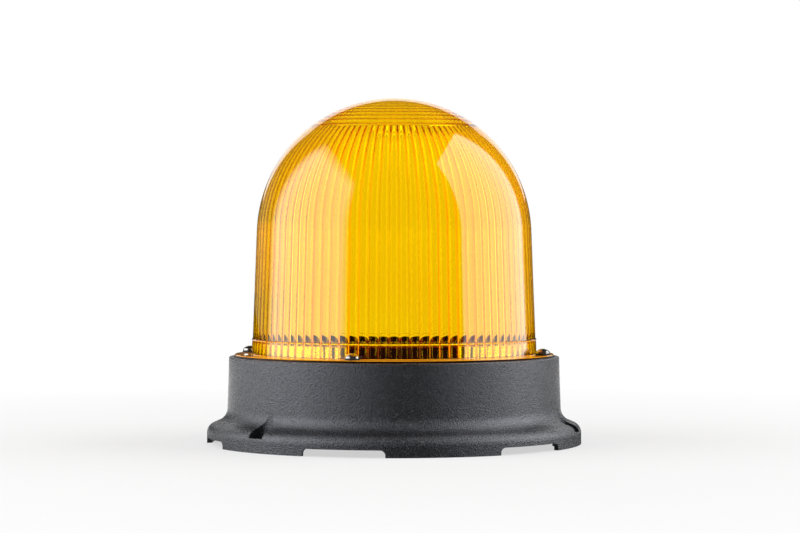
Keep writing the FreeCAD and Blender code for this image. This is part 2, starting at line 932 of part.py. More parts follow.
def power_transistor():
    """Flat-packed transistor with its metal tab against the heat sink."""
    bottom = board_top + 2 * leg_standoff
    body_top = bottom + transistor_body_height
    tab_place = (0, transistor_tab_thickness / 2)
    body_place = (0, transistor_thickness / 2)
    body = block(transistor_width, transistor_thickness, bottom, body_top, body_place)
    tab_top = body_top + transistor_tab_height
    tab = block(transistor_width, transistor_tab_thickness, bottom, tab_top, tab_place)
    legs = [
        block(2 * leg_radius, leg_radius, board_top, bottom, (k * transistor_leg_pitch, body_place[1]))
        for k in (-1, 0, 1)
    ]
    return spread(body.fuse([tab] + legs).removeSplitter(), [sink_place])[0]


def control_chips():
    bottom = board_top + chip_standoff
    body = block(chip_width, chip_length, bottom, bottom + chip_height)
    pitch = chip_length / chip_leg_count
    leg_span = chip_width + 2 * chip_leg_reach
    legs = [
        block(
            leg_span,
            chip_leg_width,
            board_top,
            board_top + chip_height / 2,
            (0, (k - (chip_leg_count - 1) / 2) * pitch),
        )
        for k in range(chip_leg_count)
    ]
    return group(spread(body.fuse(legs).removeSplitter(), chip_places))


# Terminal block: the screw turns in place and lifts the clamp in its chamber
chamber_floor = board_top + block_wall
chamber_top = chamber_floor + clamp_height + clamp_travel + terminal_gap
block_top = board_top + block_height
pole_offsets = [(k - (pole_count - 1) / 2) * pole_pitch for k in range(pole_count)]


def terminal_block():
    length = pole_count * pole_pitch + block_wall
    solid = block(block_depth, length, board_top, block_top, (terminal_x, 0))
    room = clamp_width + 2 * clamp_gap
    half_room = room / 2
    mouth_end = terminal_x + block_depth / 2
    removed = []
    for offset in pole_offsets:
        corner = vector(terminal_x - half_room, offset - half_room, chamber_floor)
        depth = mouth_end - (terminal_x - half_room)
        removed.append(Part.makeBox(depth, room, chamber_top - chamber_floor, corner))
        place = (terminal_x, offset)
        removed.append(rod(terminal_shank_radius + terminal_gap, chamber_floor, block_top, place))
        shoulder = chamber_top + block_wall
        removed.append(rod(terminal_head_radius + terminal_gap, shoulder, block_top, place))
    return solid.cut(removed)


def terminal_screw(offset):
    seat = chamber_top + block_wall
    top = seat + terminal_head_height
    length = block_wall + terminal_gap + clamp_travel + clamp_top + terminal_shank_radius / 2
    solid = rod(terminal_shank_radius, seat - length, seat).fuse(rod(terminal_head_radius, seat, top))
    slot = block(2 * terminal_head_radius, slot_width, top - slot_depth, top)
    return spread(solid.cut(slot).removeSplitter(), [(terminal_x, offset)])[0]


def clamp_cage(offset):
    """Open clamp: the wire's window runs through it and the screw through its top."""
    top = chamber_floor + clamp_height
    solid = block(clamp_width, clamp_width, chamber_floor, top)
    window_top = top - clamp_top
    window_bottom = window_top - clamp_window
    window = block(clamp_width, clamp_window, window_bottom, window_top)
    hole = rod(terminal_shank_radius + terminal_gap / 2, window_top, top)
    return spread(solid.cut([window, hole]), [(terminal_x, offset)])[0]


def lead_header():
    place = (lead_x, 0)
    solid = block(header_depth, header_width, board_top, board_top + header_height, place)
    cavity_depth = header_depth - 2 * header_wall
    cavity_width = header_width - 2 * header_wall
    cavity = block(
        cavity_depth, cavity_width, board_top + header_floor, board_top + header_height, place
    )
    return solid.cut(cavity)


def lead_plug():
    shrink = 2 * (header_wall + plug_gap)
    bottom = board_top + header_floor
    return block(header_depth - shrink, header_width - shrink, bottom, bottom + plug_height, (lead_x, 0))


def lead(side):
    """One wire: up from the plug, over the carrier's edge, down flat on the light board."""
    y = side * lead_spacing / 2
    start = board_top + header_floor + plug_height
    level = led_board_top + lead_radius + lead_seat_gap
    bend_centre = vector(lead_x - lead_bend, y, level - lead_bend)
    rise_end = vector(lead_x, y, level - lead_bend)
    flat_start = vector(lead_x - lead_bend, y, level)
    middle = bend_centre + vector(lead_bend * cosine(45), 0, lead_bend * sine(45))
    flat_end = vector(-led_board_inner - lead_on_board, y, level)
    edges = [
        line(vector(lead_x, y, start), rise_end),
        Part.Arc(rise_end, middle, flat_start).toShape(),
        line(flat_start, flat_end),
    ]
    section = Part.Wire(Part.makeCircle(lead_radius, vector(lead_x, y, start)))
    return Part.Wire(edges).makePipeShell([section], True, False)


pieces = {
    "base_housing": base_housing(),
    "lens_dome": lens_dome(),
    "lens_gasket": lens_gasket(),
    "lens_screws": lens_screws(),
    "screw_washers": screw_washers(),
    "base_plate": base_plate(),
    "plate_seal": plate_seal(),
    "plate_screws": plate_screws(),
    "cable_grommet": cable_grommet(),
    "led_carrier": led_carrier(),
    "carrier_screws": carrier_screws(),
    "led_board": led_board(),
    "led_board_screws": led_board_screws(),
    "led_packages": led_packages(),
    "led_emitters": led_emitters(),
    "power_board": power_board(),
    "board_screws": board_screws(),
    "transformer_core": transformer_core(),
    "transformer_coil": transformer_coil(),
    "filter_capacitors": filter_capacitors(),
    "choke_core": choke_core(),
    "choke_winding": choke_winding(),
    "bridge_rectifier": bridge_rectifier(),
    "fuse_tube": fuse_tube(),
    "fuse_caps": fuse_caps(),
    "fuse_clips": fuse_clips(),
    "varistor": varistor(),
    "heat_sink": heat_sink(),
    "power_transistor": power_transistor(),
    "control_chips": control_chips(),
    "terminal_block": terminal_block(),
    "lead_header": lead_header(),
    "lead_plug": lead_plug(),
    "lead_positive": lead(1),
    "lead_negative": lead(-1),
}
for number, pole_offset in enumerate(pole_offsets, 1):
    pieces[f"terminal_screw_{number}"] = terminal_screw(pole_offset)
    pieces[f"clamp_cage_{number}"] = clamp_cage(pole_offset)

os.makedirs("parts", exist_ok=True)
for name, shape in pieces.items():
    shape.exportStep(f"parts/{name}.step")
    print(name, len(shape.Solids), "solids", round(shape.Volume, 1), "mm3", shape.isValid())
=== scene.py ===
import math
import bmesh
import bpy
from mathutils import Matrix, Vector


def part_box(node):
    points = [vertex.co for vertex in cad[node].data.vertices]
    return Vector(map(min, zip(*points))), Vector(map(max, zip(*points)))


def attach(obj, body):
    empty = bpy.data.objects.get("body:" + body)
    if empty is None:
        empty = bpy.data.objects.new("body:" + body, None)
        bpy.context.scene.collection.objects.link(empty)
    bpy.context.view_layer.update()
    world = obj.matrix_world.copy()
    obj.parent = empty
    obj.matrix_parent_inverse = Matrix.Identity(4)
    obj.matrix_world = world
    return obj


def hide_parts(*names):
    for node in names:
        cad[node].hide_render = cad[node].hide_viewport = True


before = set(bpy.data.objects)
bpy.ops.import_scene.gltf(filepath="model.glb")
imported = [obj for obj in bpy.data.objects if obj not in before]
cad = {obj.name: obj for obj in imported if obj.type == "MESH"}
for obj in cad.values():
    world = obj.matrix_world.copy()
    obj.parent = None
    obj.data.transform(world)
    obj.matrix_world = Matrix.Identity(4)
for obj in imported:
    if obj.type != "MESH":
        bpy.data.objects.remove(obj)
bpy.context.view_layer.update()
zAxis = Vector((0, 0, 1))
weld = 1e-6  # points nearer than this are one point
print("frame loaded:", len(cad), "nodes")

noiseSpan = (0.3, 0.7)  # where most of a noise lies
cloudSpan = (0.32, 0.68)
cloudDetail = 4.0
grainDetail = 3.0


# node helpers: sockets are linked, numbers and colours are set
def feed(tree, node, inputs):
    for key, value in inputs.items():
        if isinstance(value, bpy.types.NodeSocket):
            tree.links.new(value, node.inputs[key])
        else:
            node.inputs[key].default_value = value


def add(tree, kind, inputs=None, **settings):
    made = tree.nodes.new(kind)
    for key, value in settings.items():
        setattr(made, key, value)
    feed(tree, made, inputs or {})
    return made


def newMaterial(name):
    material = bpy.data.materials.new(name)
    material.use_nodes = True
    return material, material.node_tree, material.node_tree.nodes["Principled BSDF"]


def objectCoords(tree):
    return add(tree, "ShaderNodeTexCoord").outputs["Object"]


def component(tree, vector, axis):
    return add(tree, "ShaderNodeSeparateXYZ", {"Vector": vector}).outputs[axis]


def calc(tree, operation, *values):
    return add(tree, "ShaderNodeMath", dict(enumerate(values)), operation=operation).outputs["Value"]


def vectorCalc(tree, operation, *values):
    made = add(tree, "ShaderNodeVectorMath", dict(enumerate(values)), operation=operation)
    return made.outputs["Value" if operation in ("LENGTH", "DOT_PRODUCT") else "Vector"]


def clouded(tree, factor, dark, light, span=cloudSpan):
    made = add(tree, "ShaderNodeValToRGB", {"Fac": factor})
    for element, place, colour in zip(made.color_ramp.elements, span, (dark, light)):
        element.position = place
        element.color = (*colour, 1)
    return made.outputs["Color"]


def spread(tree, value, low, high, fromLow=noiseSpan[0], fromHigh=noiseSpan[1]):
    inputs = {"Value": value, "From Min": fromLow, "From Max": fromHigh, "To Min": low, "To Max": high}
    return add(tree, "ShaderNodeMapRange", inputs).outputs["Result"]


def noise(tree, coords, scale, detail):
    inputs = {"Vector": coords, "Scale": scale, "Detail": detail}
    return add(tree, "ShaderNodeTexNoise", inputs).outputs["Fac"]


def between(tree, value, low, high):
    above = calc(tree, "GREATER_THAN", value, low)
    below = calc(tree, "LESS_THAN", value, high)
    return calc(tree, "MULTIPLY", above, below)


def mixValue(tree, share, first, second):
    return add(tree, "ShaderNodeMix", {"Factor": share, "A": first, "B": second}).outputs["Result"]


def mixColour(tree, share, first, second):
    mixed = add(tree, "ShaderNodeMix", {0: share}, data_type="RGBA")
    for place, value in ((6, first), (7, second)):  # the node's two colour sockets
        feed(tree, mixed, {place: value if isinstance(value, bpy.types.NodeSocket) else (*value, 1)})
    return mixed.outputs[2]


# copper under the mask of a board: ring tracks, or square pours
def copperShare(tree, coords, copper):
    inputs = {"Vector": coords, "Scale": copper["scale"]}
    if copper["form"] == "rings":
        tone = add(tree, "ShaderNodeTexWave", inputs, wave_type="RINGS", rings_direction="Z").outputs["Fac"]
    else:
        cells = add(tree, "ShaderNodeTexVoronoi", inputs, distance="CHEBYCHEV")
        tone = component(tree, cells.outputs["Color"], "X")
    return calc(tree, "GREATER_THAN", tone, copper["from"])


# one finish: clouded colour, speckled roughness, grain as bump
def makeFinish(name, look):
    material, tree, surface = newMaterial(name)
    coords = objectCoords(tree)
    tint = clouded(tree, noise(tree, coords, look["cloud"], cloudDetail), look["dark"], look["light"])
    if "copper" in look:
        tint = mixColour(tree, copperShare(tree, coords, look["copper"]), tint, look["copper"]["tone"])
    grain = noise(tree, coords, look["grain"], grainDetail)
    bump = add(tree, "ShaderNodeBump", {"Height": grain, "Strength": look["bump"], "Distance": look["depth"]})
    feed(tree, surface, {"Base Color": tint, "Roughness": spread(tree, grain, *look["rough"]),
                         "Normal": bump.outputs["Normal"], **look.get("sockets", {})})
    return material


metal = {"Metallic": 1.0}
looks = {
    "housingPlastic": {"dark": (0.009, 0.009, 0.0105), "light": (0.013, 0.013, 0.015), "cloud": 40,
                       "grain": 1700, "rough": (0.18, 0.30), "bump": 0.8, "depth": 0.0006,
                       "sockets": {"Specular IOR Level": 1.0, "Specular Tint": (0.88, 0.91, 1.0, 1.0)}},
    "carrierPlastic": {"dark": (0.016, 0.016, 0.017), "light": (0.025, 0.025, 0.027), "cloud": 60,
                       "grain": 3200, "rough": (0.38, 0.5), "bump": 0.2, "depth": 0.0002},
    "sealRubber": {"dark": (0.012, 0.012, 0.012), "light": (0.022, 0.021, 0.02), "cloud": 90,
                   "grain": 2200, "rough": (0.6, 0.8), "bump": 0.25, "depth": 0.0002},
    "screwSteel": {"dark": (0.42, 0.41, 0.38), "light": (0.58, 0.57, 0.54), "cloud": 700,
                   "grain": 5000, "rough": (0.10, 0.22), "bump": 0.1, "depth": 0.0001, "sockets": metal},
    "lightBoard": {"dark": (0.012, 0.012, 0.013), "light": (0.022, 0.022, 0.024), "cloud": 120,
                   "grain": 2500, "rough": (0.35, 0.5), "bump": 0.1, "depth": 0.0001,
                   "copper": {"form": "rings", "scale": 90.0, "from": 0.72, "tone": (0.045, 0.043, 0.04)}},
    "ledBody": {"dark": (0.014, 0.014, 0.015), "light": (0.026, 0.026, 0.028), "cloud": 500,
                "grain": 4000, "rough": (0.35, 0.5), "bump": 0.1, "depth": 0.0001},
    "ledPhosphor": {"dark": (0.72, 0.5, 0.03), "light": (0.85, 0.64, 0.06), "cloud": 900,
                    "grain": 6000, "rough": (0.2, 0.35), "bump": 0.15, "depth": 0.0001},
    "supplyBoard": {"dark": (0.012, 0.10, 0.035), "light": (0.02, 0.17, 0.06), "cloud": 300,
                    "grain": 2500, "rough": (0.25, 0.4), "bump": 0.15, "depth": 0.0001,
                    "copper": {"form": "pours", "scale": 140.0, "from": 0.45, "tone": (0.03, 0.24, 0.085)}},
    "ferrite": {"dark": (0.035, 0.035, 0.038), "light": (0.06, 0.06, 0.063), "cloud": 400,
                "grain": 3500, "rough": (0.55, 0.75), "bump": 0.4, "depth": 0.0002},
    "coilTape": {"dark": (0.62, 0.4, 0.03), "light": (0.78, 0.55, 0.05), "cloud": 300,
                 "grain": 2500, "rough": (0.25, 0.4), "bump": 0.15, "depth": 0.0001},
    "chokeWire": {"dark": (0.5, 0.19, 0.07), "light": (0.68, 0.3, 0.12), "cloud": 800,
                  "grain": 3000, "rough": (0.2, 0.3), "bump": 0.2, "depth": 0.0001, "sockets": metal},
    "canSleeve": {"dark": (0.012, 0.016, 0.045), "light": (0.022, 0.03, 0.075), "cloud": 200,
                  "grain": 2500, "rough": (0.2, 0.32), "bump": 0.1, "depth": 0.0001},
    "chipEpoxy": {"dark": (0.013, 0.013, 0.014), "light": (0.024, 0.024, 0.025), "cloud": 500,
                  "grain": 5000, "rough": (0.5, 0.65), "bump": 0.3, "depth": 0.0001},
    "fuseGlass": {"dark": (0.9, 0.94, 0.94), "light": (0.96, 0.98, 0.98), "cloud": 300,
                  "grain": 1500, "rough": (0.01, 0.04), "bump": 0.02, "depth": 0.0001,
                  "sockets": {"Transmission Weight": 1.0, "IOR": 1.5}},
    "contactMetal": {"dark": (0.66, 0.64, 0.6), "light": (0.78, 0.76, 0.73), "cloud": 500,
                     "grain": 4000, "rough": (0.14, 0.26), "bump": 0.1, "depth": 0.0001, "sockets": metal},
    "varistorCoat": {"dark": (0.02, 0.07, 0.32), "light": (0.03, 0.11, 0.45), "cloud": 400,
                     "grain": 2500, "rough": (0.3, 0.45), "bump": 0.3, "depth": 0.0002},
    "sinkMetal": {"dark": (0.62, 0.63, 0.64), "light": (0.72, 0.73, 0.74), "cloud": 300,
                  "grain": 3500, "rough": (0.3, 0.42), "bump": 0.15, "depth": 0.0001, "sockets": metal},
    "terminalPlastic": {"dark": (0.035, 0.2, 0.08), "light": (0.055, 0.29, 0.12), "cloud": 300,
                        "grain": 3000, "rough": (0.3, 0.42), "bump": 0.15, "depth": 0.0001},
    "terminalSteel": {"dark": (0.56, 0.56, 0.57), "light": (0.68, 0.68, 0.69), "cloud": 700,
                      "grain": 5000, "rough": (0.22, 0.36), "bump": 0.1, "depth": 0.0001, "sockets": metal},
    "clampBrass": {"dark": (0.62, 0.44, 0.18), "light": (0.76, 0.57, 0.27), "cloud": 600,
                   "grain": 4500, "rough": (0.25, 0.4), "bump": 0.12, "depth": 0.0001, "sockets": metal},
    "plugPlastic": {"dark": (0.72, 0.7, 0.63), "light": (0.82, 0.8, 0.73), "cloud": 300,
                    "grain": 3000, "rough": (0.35, 0.5), "bump": 0.12, "depth": 0.0001},
    "leadRed": {"dark": (0.4, 0.012, 0.012), "light": (0.55, 0.022, 0.02), "cloud": 300,
                "grain": 2500, "rough": (0.3, 0.42), "bump": 0.12, "depth": 0.0001},
    "leadBlack": {"dark": (0.012, 0.012, 0.012), "light": (0.022, 0.022, 0.022), "cloud": 300,
                  "grain": 2500, "rough": (0.3, 0.42), "bump": 0.12, "depth": 0.0001},
}
materials = {name: makeFinish(name, look) for name, look in looks.items()}

# painted light and shade: the collar inside the lens is dark brown metal, and its outer wall is painted
# silver at both sides as seen from the camera, for the side boxes' light through the lens; front and back
# stay dark as painted shade
collarShadeAndSheenLook = {"zone": (0.0650, 0.0695), "low": 0.0409, "dark": (0.16, 0.02, 0.004),
              "bright": (0.92, 0.90, 0.86), "sheenFrom": 0.0676, "rough": 0.15, "bump": 0.12,
              "shadeTurn": -71.1, "shadeHalf": 23.5}


# paints the collar: metal all round, painted shade in dark brown towards the camera and away from it, painted
# reflection in silver on the outer wall at the sides
def paintCollarShadeAndSheen(material):
    look = collarShadeAndSheenLook
    tree = material.node_tree
    surface = tree.nodes["Principled BSDF"]
    coords = objectCoords(tree)
    flat = vectorCalc(tree, "MULTIPLY", coords, (1, 1, 0))
    radius = vectorCalc(tree, "LENGTH", flat)
    outward = vectorCalc(tree, "NORMALIZE", flat)
    turn = math.radians(look["shadeTurn"])
    facing = vectorCalc(tree, "DOT_PRODUCT", outward, (math.cos(turn), math.sin(turn), 0))
    edge = math.cos(math.radians(look["shadeHalf"]))
    ring = between(tree, radius, *look["zone"])
    above = calc(tree, "GREATER_THAN", component(tree, coords, "Z"), look["low"])
    collar = calc(tree, "MULTIPLY", ring, above)
    # painted reflection: silver on the outer wall outside the front and back sectors; painted shade: dark
    # brown within them
    sides = between(tree, facing, -edge, edge)
    outside = calc(tree, "GREATER_THAN", radius, look["sheenFrom"])
    paintedSheenMask = calc(tree, "MULTIPLY", sides, outside)
    paintedShadeAndSheen = mixColour(tree, paintedSheenMask, look["dark"], look["bright"])
    plain = surface.inputs["Base Color"].links[0].from_socket
    grain = surface.inputs["Roughness"].links[0].from_socket
    bump = surface.inputs["Normal"].links[0].from_node
    feed(tree, surface, {"Metallic": collar, "Base Color": mixColour(tree, collar, plain, paintedShadeAndSheen),
                         "Roughness": mixValue(tree, collar, grain, look["rough"])})
    strength = spread(tree, collar, looks["housingPlastic"]["bump"], look["bump"], 0.0, 1.0)
    feed(tree, bump, {"Strength": strength})


paintCollarShadeAndSheen(materials["housingPlastic"])

nodeFinishes = {
    "housingPlastic": ["base_housing", "base_plate"],
    "carrierPlastic": ["led_carrier"],
    "sealRubber": ["lens_gasket", "plate_seal", "cable_grommet", "screw_washers"],
    "lightBoard": ["led_board"],
    "ledBody": ["led_packages"],
    "ledPhosphor": ["led_emitters"],
    "supplyBoard": ["power_board"],
    "ferrite": ["transformer_core", "choke_core"],
    "coilTape": ["transformer_coil"],
    "chokeWire": ["choke_winding"],
    "canSleeve": ["filter_capacitors"],
    "chipEpoxy": ["bridge_rectifier", "power_transistor", "control_chips"],
    "fuseGlass": ["fuse_tube"],
    "contactMetal": ["fuse_caps", "fuse_clips"],
    "varistorCoat": ["varistor"],
    "sinkMetal": ["heat_sink"],
    "terminalPlastic": ["terminal_block"],
    "terminalSteel": ["terminal_screw_1", "terminal_screw_2"],
    "clampBrass": ["clamp_cage_1", "clamp_cage_2"],
    "plugPlastic": ["lead_header", "lead_plug"],
    "leadRed": ["lead_positive"],
    "leadBlack": ["lead_negative"],
}
for look, names in nodeFinishes.items():
    for name in names:
        cad[name].data.materials.clear()
        cad[name].data.materials.append(materials[look])
print("finishes on CAD nodes:", sum(len(names) for names in nodeFinishes.values()))


# amber moulding: clear, with painted shade along the flute valleys and cap ring edges, faint flow marks
amberLook = {"tint": (1.0, 0.895, 0.03), "deep": (1.0, 0.855, 0.02), "line": (0.76, 0.50, 0.01),
             "shadeLineShare": 0.78, "ior": 1.49, "absorb": (1.0, 0.875, 0.2), "density": 300.0,
             "flow": 26.0, "flowDetail": 2.0, "flowSpan": (0.35, 0.65), "rough": (0.0, 0.03),
             "bump": 0.02, "depth": 0.001}
# the flange is cloudier, and has painted shadow: dark along its foot, where it sits down in the base's lip
flangeLook = {"dark": (0.96, 0.36, 0.012), "light": (1.0, 0.43, 0.02), "foot": (0.03, 0.008, 0.002),
              "footShadowLevel": (0.0448, 0.0450), "cloud": 60.0, "rough": (0.02, 0.06), "clear": 0.2, "ior": 1.49}


def amberMaterial():
    look = amberLook
    material, tree, surface = newMaterial("lensAmber")
    flow = noise(tree, objectCoords(tree), look["flow"], look["flowDetail"])
    tint = clouded(tree, flow, look["deep"], look["tint"], look["flowSpan"])
    # painted shade: darker amber along the flute valleys and cap ring edges, read from the "line" layer
    line = add(tree, "ShaderNodeAttribute", attribute_name="line").outputs["Fac"]
    share = calc(tree, "MULTIPLY", line, look["shadeLineShare"])
    wave = add(tree, "ShaderNodeBump", {"Height": flow, "Strength": look["bump"], "Distance": look["depth"]})
    feed(tree, surface, {"Base Color": mixColour(tree, share, tint, look["line"]),
                         "Roughness": spread(tree, flow, *look["rough"]), "Normal": wave.outputs["Normal"],
                         "Transmission Weight": 1.0, "IOR": look["ior"]})
    body = {"Color": (*look["absorb"], 1), "Density": look["density"]}
    absorb = add(tree, "ShaderNodeVolumeAbsorption", body)
    feed(tree, tree.nodes["Material Output"], {"Volume": absorb.outputs["Volume"]})
    return material


def flangeMaterial():
    look = flangeLook
    material, tree, surface = newMaterial("flangeAmber")
    coords = objectCoords(tree)
    flow = noise(tree, coords, look["cloud"], cloudDetail)
    tint = clouded(tree, flow, look["dark"], look["light"])
    # painted shadow: the colour goes to near black over the foot of the flange edge
    share = spread(tree, component(tree, coords, "Z"), 1.0, 0.0, *look["footShadowLevel"])
    feed(tree, surface, {"Base Color": mixColour(tree, share, tint, look["foot"]),
                         "Roughness": spread(tree, flow, *look["rough"]),
                         "Transmission Weight": look["clear"], "IOR": look["ior"]})
    return material


materials["lensAmber"] = amberMaterial()
materials["flangeAmber"] = flangeMaterial()


# piece helpers
def smoothFaces(bm, sharpAngle):
    for face in bm.faces:
        face.smooth = True
    for edge in bm.edges:
        edge.smooth = len(edge.link_faces) == 2 and edge.calc_face_angle(0) < math.radians(sharpAngle)


def makePiece(name, bm, look, body, replaced, sharpAngle):
    smoothFaces(bm, sharpAngle)
    mesh = bpy.data.meshes.new(name)
    bm.to_mesh(mesh)
    bm.free()
    piece = bpy.data.objects.new(name, mesh)
    bpy.context.scene.collection.objects.link(piece)
    mesh.materials.append(materials[look])
    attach(piece, body)
    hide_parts(*replaced)
    print("piece:", name, len(mesh.polygons), "faces")


def lathe(bm, line, steps, closed=False):
    verts = [bm.verts.new((radius, 0, height)) for radius, height in line]
    pairs = list(zip(verts, verts[1:] + verts[:1]))
    edges = [bm.edges.new(pair) for pair in (pairs if closed else pairs[:-1])]
    known = set(bm.verts)
    bmesh.ops.spin(bm, geom=verts + edges, cent=(0, 0, 0), axis=zAxis, angle=2 * math.pi, steps=steps,
                   use_merge=True)
    return verts + [v for v in bm.verts if v not in known]


def arc(centre, radius, start, end, steps):
    angles = [math.radians(start + (end - start) * k / steps) for k in range(steps + 1)]
    return [(centre[0] + radius * math.cos(a), centre[1] + radius * math.sin(a)) for a in angles]


def seal(bm):
    bmesh.ops.remove_doubles(bm, verts=bm.verts, dist=weld)
    bmesh.ops.recalc_face_normals(bm, faces=bm.faces)


# one shape less the others, by Blender's own boolean
def cutAway(bm, cutters):
    for cutter in cutters:
        pair = []
        for source in (bm, cutter):
            mesh = bpy.data.meshes.new("cutting")
            source.to_mesh(mesh)
            source.free()
            pair.append(bpy.data.objects.new("cutting", mesh))
            bpy.context.scene.collection.objects.link(pair[-1])
        cut = pair[0].modifiers.new("cut", "BOOLEAN")
        cut.operation = "DIFFERENCE"
        cut.solver = "EXACT"
        cut.object = pair[1]
        graph = bpy.context.evaluated_depsgraph_get()
        result = bpy.data.meshes.new_from_object(pair[0].evaluated_get(graph))
        bm = bmesh.new()
        bm.from_mesh(result)
        for mesh in [result] + [piece.data for piece in pair]:
            bpy.data.meshes.remove(mesh)
    return bm


# lens: smooth outside, upright flutes inside, ring flutes under the crown
lensForm = {"domeRadius": 0.070, "draft": 2.1, "wall": 0.0026, "roundSteps": 240, "domeSteps": 40,
            "stepHeight": 0.0074, "step": 0.0003, "bead": 0.0004, "beadArc": (-70, 110), "beadSteps": 8,
            "fluteCount": 90, "fluteDepth": 0.0008, "fluteTurn": -1.0, "stepsPerFlute": 12, "fluteRows": 18,
            "capRadius": 0.042, "capStep": 0.0014, "capRings": 13, "ringDepth": 0.0007, "stepsPerRing": 8,
            "shadeLineWidth": 0.11, "sharpAngle": 32}
flangeForm = {"thickness": 0.003, "fillet": 0.0003, "filletSteps": 6, "edge": 0.0003, "gap": 0.00003,
              "screwCount": 4, "screwHead": 0.0035, "screwHole": 0.00205, "holeSteps": 32,
              "roundSteps": 240, "sharpAngle": 40}


def lensSkirt(height, inset, centre):
    ball = lensForm["domeRadius"] - inset
    draft = math.radians(lensForm["draft"])
    rise = centre + ball * math.sin(draft) - height
    return ball * math.cos(draft) + rise * math.tan(draft)


def scallop(share, half, depth):
    curve = (half ** 2 + depth ** 2) / (2 * depth)
    return math.sqrt(curve ** 2 - ((2 * share - 1) * half) ** 2) - curve + depth


def buildLens():
    f = lensForm
    low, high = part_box("lens_dome")
    bottom = low.z
    centre = high.z - f["domeRadius"]
    stepLevel = bottom + flangeForm["thickness"] + f["stepHeight"]
    beadMiddle = lensSkirt(stepLevel, 0, centre) + f["step"] - f["bead"] / 3  # a third of it is sunk
    outside = [(lensSkirt(bottom, 0, centre) + f["step"], bottom)]
    outside += arc((beadMiddle, stepLevel), f["bead"], *f["beadArc"], f["beadSteps"])
    outside += arc((0, centre), f["domeRadius"], f["draft"], 90, f["domeSteps"])
    bm = bmesh.new()
    # the "line" layer marks the flute valleys and cap ring edges, where the lens material paints shade
    line = bm.verts.layers.float.new("line")
    lathe(bm, outside, f["roundSteps"])

    ball = f["domeRadius"] - f["wall"]
    capLevel = centre + math.sqrt(ball ** 2 - f["capRadius"] ** 2)
    capAngle = math.degrees(math.asin((capLevel - centre) / ball))
    inside = [(lensSkirt(bottom, f["wall"], centre), bottom)]
    inside += arc((0, centre), ball, f["draft"], capAngle, f["fluteRows"])
    pitch = 2 * math.pi / f["fluteCount"]
    for vert in lathe(bm, inside, f["fluteCount"] * f["stepsPerFlute"]):
        share = ((math.atan2(vert.co.y, vert.co.x) - math.radians(f["fluteTurn"])) / pitch) % 1
        vert[line] = max(0.0, 1 - min(share, 1 - share) / f["shadeLineWidth"])
        flat = Vector((vert.co.x, vert.co.y, 0))
        depth = scallop(share, pitch * ball / 2, f["fluteDepth"]) * min(1.0, flat.length / ball)
        if vert.co.z > capLevel - weld:
            flat *= math.sqrt((ball - depth) ** 2 - (capLevel - centre) ** 2) / flat.length
        elif vert.co.z > centre:
            flat *= 1 - depth / ball
            vert.co.z -= depth * (vert.co.z - centre) / ball
        else:
            flat *= 1 - depth / flat.length
        vert.co.x, vert.co.y = flat.x, flat.y

    start = f["capRadius"] - f["capStep"]
    ring = start / f["capRings"]
    cap = []
    for k in range(f["capRings"] * f["stepsPerRing"] + 1):
        radius = max(start - k * ring / f["stepsPerRing"], 0.0)
        depth = scallop((k / f["stepsPerRing"]) % 1, ring / 2, f["ringDepth"])
        cap.append((radius, centre + math.sqrt((ball - depth) ** 2 - radius ** 2)))
    cap[0] = (start, capLevel)
    for vert in lathe(bm, cap, f["roundSteps"]):
        turns = (start - Vector((vert.co.x, vert.co.y)).length) / ring
        vert[line] = max(0.0, 1 - abs(turns - round(turns)) / f["shadeLineWidth"])

    bmesh.ops.remove_doubles(bm, verts=bm.verts, dist=weld)
    for level in (bottom, capLevel):
        rims = [e for e in bm.edges if e.is_boundary and all(abs(v.co.z - level) < weld for v in e.verts)]
        bmesh.ops.triangle_fill(bm, use_beauty=True, edges=rims)
    bmesh.ops.recalc_face_normals(bm, faces=bm.faces)
    print("lens open edges:", sum(e.is_boundary for e in bm.edges))
    makePiece("lensShell", bm, "lensAmber", "lens", ["lens_dome"], f["sharpAngle"])


def buildFlange():
    f = flangeForm
    low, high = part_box("lens_dome")
    bottom, radius = low.z, high.x
    top, edge, fillet = bottom + f["thickness"], f["edge"], f["fillet"]
    centre = high.z - lensForm["domeRadius"]
    inner = [lensSkirt(z, 0, centre) + lensForm["step"] + f["gap"] for z in (bottom, top + fillet)]
    line = [(inner[0], bottom), (inner[1], top + fillet)]
    line += arc((inner[1] + fillet, top + fillet), fillet, 180, 270, f["filletSteps"])[1:]
    line += [(radius - edge, top), (radius, top - edge), (radius, bottom + edge), (radius - edge, bottom)]
    bm = bmesh.new()
    lathe(bm, line, f["roundSteps"], closed=True)
    seal(bm)
    holes = []
    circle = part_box("lens_screws")[1].x - f["screwHead"]
    for k in range(f["screwCount"]):
        holes.append(bmesh.new())
        turned = Matrix.Rotation(2 * math.pi / f["screwCount"] * k, 4, "Z")
        place = turned @ Matrix.Translation((circle, 0, (bottom + top) / 2))
        bmesh.ops.create_cone(holes[-1], cap_ends=True, segments=f["holeSteps"], radius1=f["screwHole"],
                              radius2=f["screwHole"], depth=2 * f["thickness"], matrix=place)
    makePiece("lensFlange", cutAway(bm, holes), "flangeAmber", "lens", ["lens_dome"],
              f["sharpAngle"])


buildLens()
buildFlange()


